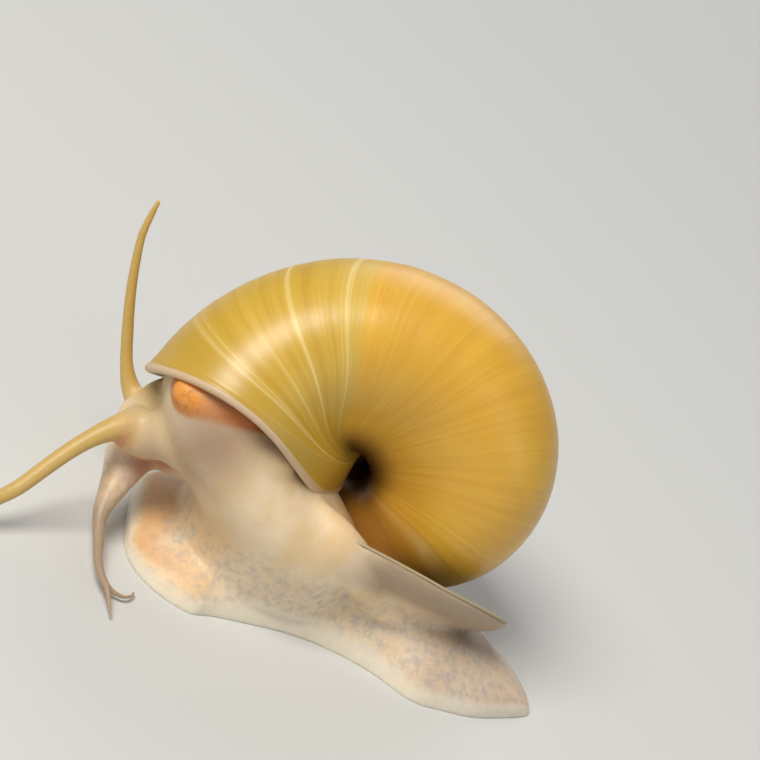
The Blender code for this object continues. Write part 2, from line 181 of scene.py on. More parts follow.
PALP_LEFT = (
    (-11.7, -2.8, 5.8, 1.8),
    (-11.9, -4.6, 4.7, 1.4),
    (-12.1, -6.2, 3.7, 0.95),
    (-12.0, -7.4, 3.0, 0.68),
    (-11.7, -8.6, 2.5, 0.6),
    (-11.3, -10.2, 2.0, 0.52),
    (-10.9, -12.2, 1.7, 0.44),
    (-10.3, -13.8, 1.5, 0.4),
    (-9.5, -15.2, 1.4, 0.36),
    (-8.9, -16.6, 1.0, 0.24),
    (-8.4, -18.0, 0.6, 0.16),
)
PALP_RIGHT = (
    (-11.8, -3.6, 5.0, 1.2),
    (-11.9, -5.6, 3.6, 0.8),
    (-11.8, -7.4, 2.6, 0.6),
    (-11.3, -9.4, 1.9, 0.5),
    (-10.8, -11.6, 1.4, 0.42),
    (-10.1, -13.2, 1.1, 0.38),
    (-9.3, -14.2, 0.9, 0.33),
    (-8.4, -14.4, 0.7, 0.27),
    (-7.4, -14.2, 0.6, 0.23),
    (-6.7, -13.3, 0.5, 0.19),
    (-6.5, -12.4, 0.4, 0.15),
)
SIPHON = (
    (-12.3, -6.6, 19.1, 0.9),
    (-11.2, -6.7, 19.0, 1.5),
    (-9.6, -6.9, 19.0, 1.95),
    (-7.4, -7.0, 19.3, 2.0),
    (-5.4, -6.8, 19.8, 1.7),
    (-4.0, -6.4, 20.2, 1.0),
)
EYE_STALK_RADII = (1.5, 1.4, 1.4)
EYE_STALK_LEFT = (-13.0, -4.0, 10.3)
EYE_STALK_RIGHT = (-11.9, 3.8, 10.3)
EYE_LEFT = (-13.7, -4.9, 10.4)
EYE_RIGHT = (-12.5, 4.8, 10.5)
EYE_RADIUS = 0.55

# Operculum, and the lobe of the foot that carries it.
PLATE_CENTRE = (16.3, -1.1, 7.6)
PLATE_LENGTH = 27.0
PLATE_WIDTH = 16.5
PLATE_ROLL = 0.62
PLATE_PITCH = 0.05
PLATE_LIFT = 0.85
PLATE_THICKNESS = 0.3
PLATE_HOLLOW = 0.95
PLATE_RISE = 1.25
PLATE_COLUMNS = 96
# Lobe rings: height over the operculum's middle, and share of its outline.
LOBE_LEVELS = (
    (-1.3, 0.1),
    (-1.25, 0.3),
    (-0.98, 0.5),
    (-0.52, 0.7),
    (-0.24, 0.82),
    (-0.02, 0.92),
    (0.14, 0.97),
    (0.08, 0.995),
    (-0.4, 0.99),
    (-1.0, 0.93),
    (-1.6, 0.8),
    (-2.1, 0.6),
    (-2.8, 0.42),
    (-4.6, 0.38),
)

# Where the joins between the forms of flesh are smoothed further: middle and radius.
SMOOTH_SPOTS = (
    ((-7.6, -3.0, 13.6), 3.6),
    ((1.0, -8.6, 7.0), 3.4),
    ((5.0, -8.0, 11.0), 4.0),
)
# Thin forms that keep their shape, and the share of the way along where they leave the body.
THIN_PATHS = (
    (TENTACLE_LEFT, 0.18),
    (TENTACLE_RIGHT, 0.16),
    (PALP_LEFT, 0.2),
    (PALP_RIGHT, 0.16),
)
# Soft spots of colour on the skin: attribute, middle and radius.
COLOUR_SPOTS = (
    ("siphon_end", (-11.0, -7.6, 19.4), 2.2),
    ("nape", (-6.8, -8.6, 16.0), 4.6),
    ("cheek", (-11.6, -5.2, 11.6), 3.2),
)
MOUTH_SPOTS = (
    ((-10.4, -3.2, 8.4), 2.0),
    ((-9.0, -2.6, 9.4), 1.8),
)
EYE_SPOT_RADIUS = 1.1


def unit(vector):
    vector = np.array(vector, float)
    return vector / np.linalg.norm(vector)


def shell_frame():
    axis = unit(SHELL_AXIS)
    zero = np.array(SHELL_ZERO)
    zero = unit(zero - axis * zero.dot(axis))
    quarter = np.cross(-axis, zero)
    return zero, quarter, axis


def shell_apex():
    height = SECTION_DROP + SECTION_HEIGHT / 2 - APEX_DEPTH
    return np.array(UMBILICUS) + shell_frame()[2] * height


def section(turns, grow):
    """Points of the full-size whorl section, as radii and heights from the apex."""
    across = np.cos(turns)
    along = np.sin(turns)
    square = np.where((along > 0) & (across > 0), SHOULDER_SQUARE, 1.0)
    across = np.sign(across) * np.abs(across) ** square
    along = np.sign(along) * np.abs(along) ** square
    radius = SECTION_RADIUS + (SECTION_WIDTH / 2 + grow) * across - SECTION_SLANT * along
    height = -SECTION_DROP + (SECTION_HEIGHT / 2 + grow) * along
    return radius, height


def turn_gap(turns, middle):
    """Angle between these turns of the section and a middle one."""
    return np.abs((turns - middle + math.pi) % (2 * math.pi) - math.pi)


def step_between(values, low, high):
    """0 up to the low value, 1 past the high one, and a smooth rise between them."""
    share = np.clip((values - low) / (high - low), 0, 1)
    return share * share * (3 - 2 * share)


def shell_ring(angle, turns, grow=0.0, advance=0.0, beyond=0.0):
    """A ring of the spiral at this many degrees before the lip, which is 0."""
    zero, quarter, axis = shell_frame()
    size = WHORL_GROWTH ** (-angle / 360.0)
    turn = math.radians(LAST_TURN - angle)
    outward = zero * math.cos(turn) + quarter * math.sin(turn)
    forward = quarter * math.cos(turn) - zero * math.sin(turn)
    lead = np.exp(-((turn_gap(turns, LIP_LEAD_TURN) / LIP_LEAD_SPREAD) ** 2))
    radius, height = section(turns, (grow + 0.5 * LIP_LEAD * advance * lead) / size)
    points = shell_apex() + size * (np.outer(radius, outward) + np.outer(height, axis))
    bow = LIP_BOW * np.maximum(0.0, -np.sin(turns)) ** 1.3
    reach = advance * (LIP_ADVANCE - bow + LIP_LEAD * lead) + beyond
    points += np.outer(reach, forward)
    near_axis = np.exp(-((size * radius / UMBILICUS_REACH) ** 2))
    base_side = step_between(-np.sin(turns), -1.3, -0.1)
    last_turn = 0.42 + 0.58 * step_between(angle, -30.0, 90.0)
    last_turn = last_turn * (1 - step_between(angle, 300.0, 420.0))
    points -= np.outer(UMBILICUS_DRAW * last_turn * near_axis * base_side, zero)
    lip_end = np.exp(-((turn_gap(turns, LIP_END_TURN) / LIP_END_SPREAD) ** 2))
    lip_end = lip_end * (1 - step_between(angle, 0.0, 60.0)) * LIP_END_DRAW
    return points - np.outer(lip_end, 0.25 * zero + 0.97 * quarter)


def mesh_object(name, points, faces):
    mesh = bpy.data.meshes.new(name)
    mesh.from_pydata(np.asarray(points).tolist(), [], faces)
    mesh.update()
    obj = bpy.data.objects.new(name, mesh)
    bpy.context.collection.objects.link(obj)
    return obj


def grid_faces(rows, columns):
    """Faces between rings of points, each ring closed on itself."""
    faces = []
    for row in range(rows - 1):
        for column in range(columns):
            after = (column + 1) % columns
            low = row * columns
            high = low + columns
            faces.append((low + column, low + after, high + after, high + column))
    return faces


def loft_parts(rings):
    """Points and faces of a closed body through rings of equal count."""
    rings = [np.asarray(ring) for ring in rings]
    count = len(rings[0])
    points = list(np.vstack(rings))
    faces = grid_faces(len(rings), count)
    for index in (0, len(rings) - 1):
        middle = len(points)
        points.append(rings[index].mean(axis=0))
        start = index * count
        for step in range(count):
            faces.append((start + step, start + (step + 1) % count, middle))
    return points, faces


def smooth_path(points, steps):
    """A smooth curve through the points, which may carry radii and sizes too."""
    points = np.array(points, float)
    padded = np.vstack([2 * points[0] - points[1], points, 2 * points[-1] - points[-2]])
    path = []
    for index in range(len(points) - 1):
        before, start, end, after = padded[index : index + 4]
        for step in range(steps):
            share = step / steps
            slope = (end - before) * share
            bend = (2 * before - 5 * start + 4 * end - after) * share**2
            twist = (3 * start - before - 3 * end + after) * share**3
            path.append(0.5 * (2 * start + slope + bend + twist))
    path.append(points[-1])
    return np.array(path)


def tube_rings(stations, steps=6, ring=32, flat=1.0, side=(0.0, 0.0, 1.0)):
    """Rings of a tube along a path, with a round tip at its end."""
    path = smooth_path(stations, steps)
    rings = []
    turns = np.linspace(0, 2 * math.pi, ring, endpoint=False)
    for index in range(len(path)):
        ahead = path[min(index + 1, len(path) - 1), :3]
        behind = path[max(index - 1, 0), :3]
        along = unit(ahead - behind)
        across = unit(np.cross(along, side))
        over = np.cross(across, along)
        radius = path[index, 3]
        rings.append(
            path[index, :3]
            + np.outer(np.cos(turns) * radius, across)
            + np.outer(np.sin(turns) * radius * flat, over)
        )
    along = unit(path[-1, :3] - path[-2, :3])
    last = rings[-1]
    middle = path[-1, :3]
    for share in (0.4, 0.75, 0.95):
        narrower = (last - middle) * math.sqrt(1 - share**2)
        rings.append(middle + narrower + along * path[-1, 3] * share)
    return rings


def foot_ring(station, ring=72):
    """A section of the foot: a flat sole, a thin round rim and a dome over them."""
    along, half_width, height, middle = station
    rim = min(RIM_THICKNESS, height * 0.7)
    points = []
    for step in range(ring):
        share = step / ring
        if share < 0.25:
            flat = 1 - share / 0.125
            points.append((along, middle + flat * (half_width - 0.22 * rim), 0.0))
        else:
            turn = math.pi * (share - 0.25) / 0.75
            across = -math.cos(turn)
            lift = math.sin(turn)
            edge = abs(across) ** 0.8
            width = math.copysign(edge, across) * half_width
            dome = (height - rim) * (1 - abs(width / half_width) ** 2.2)
            rise = rim * min(1.0, lift * 2.2) * 0.85
            points.append((along, middle + width, 0.15 * rim + rise + dome))
    return np.array(points)


def squarer(values):
    return np.sign(values) * np.abs(values) ** 0.85


def oval_rings(stations, ring=72, steps=5):
    """Level rings of the trunk, a little squarer than ovals."""
    rings = []
    turns = np.linspace(0, 2 * math.pi, ring, endpoint=False)
    for height, middle_x, middle_y, half_length, half_width in smooth_path(stations, steps):
        along = middle_x + half_length * squarer(np.cos(turns))
        across = middle_y + half_width * squarer(np.sin(turns))
        rings.append(np.stack([along, across, np.full(ring, height)], axis=1))
    return rings


def plate_frame():
    across = unit((0.0, 1.0, -PLATE_ROLL))
    along = unit((1.0, 0.0, -PLATE_PITCH))
    out = unit(np.cross(along, across))
    across = np.cross(out, along)
    return np.array(PLATE_CENTRE), along, across, out


def plate_ring(depth, size):
    """A ring of the operculum or its lobe, which rises at the near side and the rear."""
    middle, along, across, out = plate_frame()
    turns = np.linspace(0, 2 * math.pi, PLATE_COLUMNS, endpoint=False)
    narrow = 1.0 - 0.14 * np.cos(turns)
    near = np.maximum(0.0, 0.35 - np.sin(turns)) / 1.35
    rear = np.maximum(0.0, np.cos(turns) - 0.3) / 0.7
    rear = rear * (1.1 + 0.6 * np.maximum(0.0, np.sin(turns)))
    lift = size**3 * (PLATE_LIFT * near * (1 - 0.7 * np.minimum(rear, 1)) + rear)
    return (
        middle
        + np.outer(size * 0.5 * PLATE_LENGTH * np.cos(turns), along)
        + np.outer(size * 0.5 * PLATE_WIDTH * narrow * np.sin(turns), across)
        + np.outer(depth + lift, out)
    )


def ball_rings(middle, radii, ring=32):
    rings = []
    turns = np.linspace(0, 2 * math.pi, ring, endpoint=False)
    for tilt in np.linspace(0.12, math.pi - 0.12, 18):
        along = middle[0] + radii[0] * math.sin(tilt) * np.cos(turns)
        across = middle[1] + radii[1] * math.sin(tilt) * np.sin(turns)
        height = np.full(ring, middle[2] + radii[2] * math.cos(tilt))
        rings.append(np.stack([along, across, height], axis=1))
    return rings


def coordinates(obj):
    flat = np.empty(len(obj.data.vertices) * 3)
    obj.data.vertices.foreach_get("co", flat)
    return flat.reshape(-1, 3)


def set_coordinates(obj, points):
    obj.data.vertices.foreach_set("co", points.ravel())
    obj.data.update()


def apply_modifiers(obj):
    """Replaces the object's mesh by its evaluated one."""
    graph = bpy.context.evaluated_depsgraph_get()
    mesh = bpy.data.meshes.new_from_object(obj.evaluated_get(graph))
    obj.modifiers.clear()
    obj.data = mesh


def face_outward(obj):
    work = bmesh.new()
    work.from_mesh(obj.data)
    bmesh.ops.recalc_face_normals(work, faces=work.faces)
    work.to_mesh(obj.data)
    work.free()


def shade_smooth(obj):
    obj.data.polygons.foreach_set("use_smooth", [True] * len(obj.data.polygons))
    obj.data.update()


def nearest_on_path(points, stations, steps=6):
    """Distance to a path and the share of the way along it, for each point."""
    path = smooth_path(stations, steps)[:, :3]
    best = np.full(len(points), 1e9)
    share = np.zeros(len(points))
    for index, spot in enumerate(path):
        distance = np.linalg.norm(points - spot, axis=1)
        closer = distance < best
        best[closer] = distance[closer]
        share[closer] = index / (len(path) - 1)
    return best, share


def add_value(obj, name, values):
    attribute = obj.data.attributes.new(name, "FLOAT", "POINT")
    attribute.data.foreach_set("value", np.asarray(values, float))


def blob(points, middle, radius):
    """A soft ball of influence: 1 at the middle and almost 0 past twice the radius."""
    away = np.linalg.norm(points - np.array(middle), axis=1)
    return np.exp(-((away / radius) ** 2))


def foot_inward(points):
    """How far points lie inside the outline of the foot, seen from above."""
    path = smooth_path(FOOT_STATIONS, 8)
    half = np.interp(points[:, 0], path[:, 0], path[:, 1])
    middle = np.interp(points[:, 0], path[:, 0], path[:, 3])
    inward = np.minimum(half - np.abs(points[:, 1] - middle), points[:, 0] - path[0, 0])
    return np.minimum(inward, path[-1, 0] - points[:, 0])


def plate_place(points):
    """How far points lie above the operculum, and how far out from its middle."""
    middle, along, across, out = plate_frame()
    depth = (points - middle) @ out
    reach = np.hypot(
        (points - middle) @ along / (PLATE_LENGTH / 2),
        (points - middle) @ across / (PLATE_WIDTH / 2),
    )
    return depth, reach


def fit_to_shell(points, thin):
    """Draws flesh into the open end of the shell, apart from the thin forms and the snout."""
    zero, quarter, axis = shell_frame()
    apex = shell_apex()
    away = points - apex
    height = away @ axis
    flat_x = away @ zero
    flat_y = away @ quarter
    radius = np.hypot(flat_x, flat_y)
    turn = np.degrees(np.arctan2(flat_y, flat_x))
    behind = (LAST_TURN - turn) % 360.0
    size = WHORL_GROWTH ** (-behind / 360.0)
    across = (radius / size - SECTION_RADIUS) / (SECTION_WIDTH / 2)
    along = (height / size + SECTION_DROP) / (SECTION_HEIGHT / 2)
    reach = np.sqrt(across**2 + along**2)
    inner = (behind < FLESH_TURN) & (reach > FLESH_REACH)
    inner = inner & (radius / size > SECTION_RADIUS * 0.2)
    inner = inner & (thin < 0.3) & ((points[:, 0] > -11.0) | (points[:, 2] > 16.5))
    target = np.where(inner, FLESH_REACH, reach)
    factor = target / np.maximum(reach, 1e-6)
    new_across = across * factor
    new_along = along * factor
    new_radius = (new_across * SECTION_WIDTH / 2 + SECTION_RADIUS) * size
    new_height = (new_along * SECTION_HEIGHT / 2 - SECTION_DROP) * size
    scale = new_radius / np.maximum(radius, 1e-6)
    moved = (
        apex
        + np.outer(flat_x * scale, zero)
        + np.outer(flat_y * scale, quarter)
        + np.outer(new_height, axis)
    )
    result = points.copy()
    result[inner] = moved[inner]
    return result


def neighbour_pairs(obj):
    flat = np.empty(len(obj.data.edges) * 2, int)
    obj.data.edges.foreach_get("vertices", flat)
    return flat.reshape(-1, 2)


def relax(points, pairs, weight, rounds):
    """Smooths a mesh by moving each point towards the mean of its neighbours."""
    count = np.bincount(pairs.ravel(), minlength=len(points)).astype(float)[:, None]
    points = points.copy()
    for _ in range(rounds):
        total = np.zeros_like(points)
        for axis in range(3):
            ahead = np.bincount(pairs[:, 0], points[pairs[:, 1], axis], len(points))
            back = np.bincount(pairs[:, 1], points[pairs[:, 0], axis], len(points))
            total[:, axis] = ahead + back
        points += (total / count - points) * weight[:, None]
    return points


# Skin: every form of flesh fused into one surface.
def make_skin():
    bodies = [
        [foot_ring(station) for station in smooth_path(FOOT_STATIONS, 5)],
        oval_rings(TRUNK),
        tube_rings(HEAD, flat=0.8, ring=48),
        tube_rings(SNOUT, side=(1.0, 0.0, 0.0)),
        tube_rings(THROAT),
        tube_rings(FLANK),
        tube_rings(NECK),
        ball_rings(CHEEK, CHEEK_RADII),
        tube_rings(TENTACLE_LEFT),
        tube_rings(TENTACLE_RIGHT, side=(0.0, 1.0, 0.0)),
        tube_rings(PALP_LEFT),
        tube_rings(PALP_RIGHT),
        ball_rings(EYE_STALK_LEFT, EYE_STALK_RADII),
        ball_rings(EYE_STALK_RIGHT, EYE_STALK_RADII),
        tube_rings(SIPHON, side=(0.0, 1.0, 0.0)),
        [plate_ring(depth, size) for depth, size in LOBE_LEVELS],
    ]
    points = []
    faces = []
    for rings in bodies:
        some, more = loft_parts(rings)
        start = len(points)
        points.extend(some)
        faces.extend([tuple(start + index for index in face) for face in more])
    skin = mesh_object("skin", points, faces)
    face_outward(skin)
    remesh = skin.modifiers.new("fuse", "REMESH")
    remesh.mode = "VOXEL"
    remesh.voxel_size = VOXEL
    apply_modifiers(skin)
    points = coordinates(skin)
    pairs = neighbour_pairs(skin)
    thin = np.zeros(len(points))
    for stations, free_from in THIN_PATHS:
        distance, share = nearest_on_path(points, stations)
        near = 1 - step_between(distance, 1.2, 2.2)
        free = step_between(share, free_from * 0.6, free_from * 1.2)
        thin = np.maximum(thin, near * free)
    low = 1 - step_between(points[:, 2], 0.6, 2.6)
    depth, reach = plate_place(points)
    near_lobe = step_between(depth, -3.6, -2.2) * step_between(reach, 0.5, 0.7)
    near_lobe = near_lobe * (1 - step_between(reach, 1.15, 1.3)) * (depth < 1.5)
    still = np.maximum(np.maximum(thin, low * 0.9), 0.75 * near_lobe)
    weight = 0.5 * (1 - 0.92 * still)
    points = relax(points, pairs, weight, SMOOTH_ROUNDS)
    folds = np.zeros(len(points))
    for middle, radius in SMOOTH_SPOTS:
        folds = np.maximum(folds, 0.5 * blob(points, middle, radius) * (1 - low))
    points = relax(points, pairs, folds, FOLD_ROUNDS)
    points = fit_to_shell(points, thin)
    points = relax(points, pairs, weight * 0.5, 4)
    edge = foot_inward(points)
    settle = (1 - step_between(points[:, 2], 0.3, 1.3)) * step_between(edge, -1.0, -0.4)
    points[:, 2] = np.maximum(points[:, 2] - SOLE_SETTLE * settle, 0.02)
    set_coordinates(skin, points)
    return skin


skin = make_skin()


def mark_skin():
    """Writes the shares of each colour on the skin as attributes that its material reads."""
    points = coordinates(skin)
    left, left_share = nearest_on_path(points, TENTACLE_LEFT)
    right, right_share = nearest_on_path(points, TENTACLE_RIGHT)
    near_palp, near_share = nearest_on_path(points, PALP_LEFT)
    far_palp, far_share = nearest_on_path(points, PALP_RIGHT)
    siphon, _ = nearest_on_path(points, SIPHON)
    feeler = np.maximum(
        (1 - step_between(left, 1.4, 2.6)) * step_between(left_share, -0.02, 0.2),
        (1 - step_between(right, 1.2, 2.2)) * step_between(right_share, -0.02, 0.2),
    )
    palp = np.maximum(
        (1 - step_between(near_palp, 1.6, 3.0)) * step_between(near_share, -0.02, 0.3),
        (1 - step_between(far_palp, 1.2, 2.4)) * step_between(far_share, -0.02, 0.2),
    )
    slender = np.maximum(palp, feeler)
    depth, reach = plate_place(points)
    # The lobe under the operculum is darkened: partly its own darker tan, partly painted shade
    # under the plate.
    lobe = step_between(depth, -3.4, -1.8) * step_between(reach, 0.5, 0.75)
    lobe = lobe * (1 - step_between(reach, 1.12, 1.3)) * step_between(points[:, 0], 8.0, 15.0)
    inward = foot_inward(points)
    low = 1 - step_between(points[:, 2], 7.0, 9.5)
    rim = (1 - step_between(inward, 0.1, 0.9)) * low * (1 - step_between(points[:, 2], 2.2, 3.4))
    rim = rim * step_between(inward, -2.0, -1.2)
    ahead = 1 - step_between(points[:, 0], -7.0, 3.0)
    band = step_between(inward, 0.4, 1.4) * (1 - step_between(inward, 1.6, 5.0)) * ahead * low
    band = band * (1 - step_between(points[:, 2], 5.5, 8.0))
    add_value(skin, "feeler", feeler)
    add_value(skin, "palp", palp)
    add_value(skin, "siphon", 1 - step_between(siphon, 1.75, 2.35))
    add_value(skin, "lobe", lobe)
    add_value(skin, "rim", rim * (1 - slender))
    add_value(skin, "band", band)
    add_value(skin, "mottled", 1 - step_between(points[:, 2], 5.0, 10.5))
    add_value(skin, "tail", step_between(points[:, 0], 14.0, 26.0))
    crown = step_between(points[:, 2], 11.0, 14.2) * (1 - step_between(points[:, 0], -9.0, -4.0))
    add_value(skin, "crown", crown * step_between(points[:, 1], -7.5, -2.5))
    for name, middle, radius in COLOUR_SPOTS:
        add_value(skin, name, blob(points, middle, radius))
    mouth = [blob(points, middle, radius) for middle, radius in MOUTH_SPOTS]
    add_value(skin, "mouth", np.maximum(mouth[0], mouth[1]))
    eyes = [blob(points, middle, EYE_SPOT_RADIUS) for middle in (EYE_LEFT, EYE_RIGHT)]
    add_value(skin, "eye_spot", eyes[0] + eyes[1])


mark_skin()


# Shell: the outer wall, the inner wall near the lip, and the rolled lip between them.
def make_shell():
    columns = 200
    turns = np.linspace(0, 2 * math.pi, columns, endpoint=False)
    rows = []
    angles = []
    lips = []

    def add(points, angle, lip):
        rows.append(points)
        angles.append(angle)
        lips.append(lip)

    for angle in np.arange(360.0 * WHORLS, 0.0, -SHELL_STEP):
        ripple = 0.035 * noise.noise(Vector((angle * 0.35, 1.7, 0.4)))
        ripple += 0.05 * noise.noise(Vector((angle * 0.06, 7.3, 2.4)))
        ripple *= WHORL_GROWTH ** (-angle / 360.0)
        add(shell_ring(angle, turns, ripple), angle, 0.0)
    for share in np.linspace(0, 0.82, 7):
        add(shell_ring(0.0, turns, LIP_FLARE * share**2, share), -6.0 * share, 0.0)
    middle = LIP_FLARE - SHELL_WALL / 2
    for turn in np.radians(np.linspace(125, -125, 15)):
        grow = middle + LIP_BEAD * math.sin(turn)
        beyond = LIP_BEAD * math.cos(turn)
        add(shell_ring(0.0, turns, grow, 1.0, beyond), -8.0, 1.0)
    for share in np.linspace(0.82, 0, 6):
        grow = LIP_FLARE * share**2 - SHELL_WALL
        add(shell_ring(0.0, turns, grow, share), -10.0, 0.6)
    for angle in np.arange(SHELL_STEP, CAVITY_TURN, SHELL_STEP * 2):
        add(shell_ring(angle, turns, -SHELL_WALL), -10.0, 0.0)
    shell = mesh_object("shell_wall", np.vstack(rows), grid_faces(len(rows), columns))
    behind = np.repeat(angles, columns)
    around = np.tile(turns, len(rows))
    add_value(shell, "behind", behind)
    add_value(shell, "round_x", np.cos(around))
    add_value(shell, "round_y", np.sin(around))
    add_value(shell, "lip", np.repeat(lips, columns))
    add_value(shell, "under", step_between(-np.sin(around), 0.15, 0.5))
    # Painted shade: the hollow of the umbilicus, near the axis on the base of the older whorls,
    # is darkened almost to black-brown.
    sizes = WHORL_GROWTH ** (-np.maximum(behind, 0) / 360.0)
    radius = section(around, 0.0)[0] * sizes
    base = step_between(-np.sin(around), -0.9, -0.1)
    inside = step_between(behind, 30.0, 90.0) * (1 - step_between(behind, 560.0, 700.0))
    add_value(shell, "pit_shade", (1 - step_between(radius, 1.6, 4.4)) * base * inside)
    return shell


shell = make_shell()


def plate_dish(size):
    """Height of the operculum's upper face, which is hollow in the middle."""
    return float(PLATE_RISE * step_between(size, 0.25, 1.0) - PLATE_HOLLOW)


# Operculum: an oval horny plate with growth rings.
def make_plate():
    profile = []
    for size in np.linspace(0.03, 0.97, 34):
        ripple = 0.035 * math.sin(size * 95.0)
        profile.append((plate_dish(size) + ripple, size))
    profile += [(0.27, 0.99), (0.15, 1.0), (0.0, 0.992)]
    for size in np.linspace(0.97, 0.05, 16):
        profile.append((plate_dish(size) - PLATE_THICKNESS, size))
    plate = mesh_object("operculum_plate", *loft_parts([plate_ring(d, s) for d, s in profile]))
    sizes = [size for _, size in profile]
    values = np.concatenate([np.repeat(sizes, PLATE_COLUMNS), [0.0, 0.0]])
    add_value(plate, "ring", values)
    return plate


plate = make_plate()


def make_eye(name, middle):
    return mesh_object(name, *loft_parts(ball_rings(middle, (EYE_RADIUS,) * 3)))


eye_left = make_eye("eye_left_bead", EYE_LEFT)
eye_right = make_eye("eye_right_bead", EYE_RIGHT)

for obj in (skin, shell, plate, eye_left, eye_right):
    face_outward(obj)
    obj.data.transform(Matrix.Scale(MILLIMETRE, 4))
    shade_smooth(obj)


class Nodes:
    """Builds a material's node tree."""

    def __init__(self, name):
        self.material = bpy.data.materials.new(name)
        self.material.use_nodes = True
        self.tree = self.material.node_tree
        self.tree.nodes.clear()
        self.output = self.tree.nodes.new("ShaderNodeOutputMaterial")
        self.shader = self.tree.nodes.new("ShaderNodeBsdfPrincipled")
        self.link(self.shader.outputs[0], self.output.inputs[0])

    def link(self, source, target):
        self.tree.links.new(source, target)

    def put(self, value, socket):
        if isinstance(value, bpy.types.NodeSocket):
            self.link(value, socket)
        else:
            socket.default_value = value

    def attribute(self, name):
        node = self.tree.nodes.new("ShaderNodeAttribute")
        node.attribute_name = name
        return node.outputs["Fac"]

    def position(self):
        return self.tree.nodes.new("ShaderNodeTexCoord").outputs["Object"]

    def math(self, operation, first, second=0.0):
        node = self.tree.nodes.new("ShaderNodeMath")
        node.operation = operation
        self.put(first, node.inputs[0])
        self.put(second, node.inputs[1])
        return node.outputs[0]

    def times(self, first, second):
        return self.math("MULTIPLY", first, second)

    def spread(self, value, low, high, new_low=0.0, new_high=1.0):
        node = self.tree.nodes.new("ShaderNodeMapRange")
        node.interpolation_type = "SMOOTHSTEP"
        self.put(value, node.inputs["Value"])
        node.inputs["From Min"].default_value = low
        node.inputs["From Max"].default_value = high
        node.inputs["To Min"].default_value = new_low
        node.inputs["To Max"].default_value = new_high
        return node.outputs[0]

    def noise(self, scale, detail=4.0, rough=0.5, vector=None):
        node = self.tree.nodes.new("ShaderNodeTexNoise")
        node.inputs["Scale"].default_value = scale
        node.inputs["Detail"].default_value = detail
        node.inputs["Roughness"].default_value = rough
        self.link(vector if vector else self.position(), node.inputs["Vector"])
        return node.outputs["Fac"]

    def cells(self, scale):
        node = self.tree.nodes.new("ShaderNodeTexVoronoi")
        node.inputs["Scale"].default_value = scale
        self.link(self.position(), node.inputs["Vector"])
        return node.outputs["Distance"]

    def mix(self, share, first, second):
        node = self.tree.nodes.new("ShaderNodeMix")
        node.data_type = "RGBA"
        self.put(share, node.inputs[0])
        self.put(first, node.inputs[6])
        self.put(second, node.inputs[7])
        return node.outputs[2]

    def tint(self, base, mask, amount, colour):
        """Lays a colour over the base where the mask is, up to this amount."""
        return self.mix(self.times(mask, amount), base, srgb(*colour))

    def vector(self, first, second, third):
        node = self.tree.nodes.new("ShaderNodeCombineXYZ")
        self.put(first, node.inputs[0])
        self.put(second, node.inputs[1])
        self.put(third, node.inputs[2])
        return node.outputs[0]

    def bump(self, height, strength, distance, normal=None):
        node = self.tree.nodes.new("ShaderNodeBump")
        node.inputs["Strength"].default_value = strength
        node.inputs["Distance"].default_value = distance
        self.link(height, node.inputs["Height"])
        if normal:
            self.link(normal, node.inputs["Normal"])
        return node.outputs[0]


def rgb(red, green, blue):
    return (red, green, blue, 1.0)


def srgb(red, green, blue):
    """Linear colour from 0 to 255 display values."""
    values = []
    for channel in (red, green, blue):
        share = channel / 255.0
        values.append(share / 12.92 if share < 0.04045 else ((share + 0.055) / 1.055) ** 2.4)
    return (values[0], values[1], values[2], 1.0)


# Colours that lie over the skin in this order: attribute, amount and display colour.
BODY_TINTS = (
    ("band", 0.55, (214, 160, 104)),
    ("nape", 0.85, (142, 112, 94)),
    ("crown", 0.8, (178, 150, 82)),
    ("cheek", 0.8, (196, 170, 134)),
    ("mouth", 0.85, (160, 84, 64)),
    ("feeler", 0.95, (196, 164, 88)),
    ("palp", 0.85, (150, 128, 106)),
    # lobe: darker tan, partly the lobe's own tone and partly painted shade under the operculum.
    ("lobe", 0.85, (158, 136, 112)),
)
EDGE_TINTS = (
    ("rim", 0.8, (236, 226, 206)),
    ("eye_spot", 0.7, (206, 126, 88)),
)


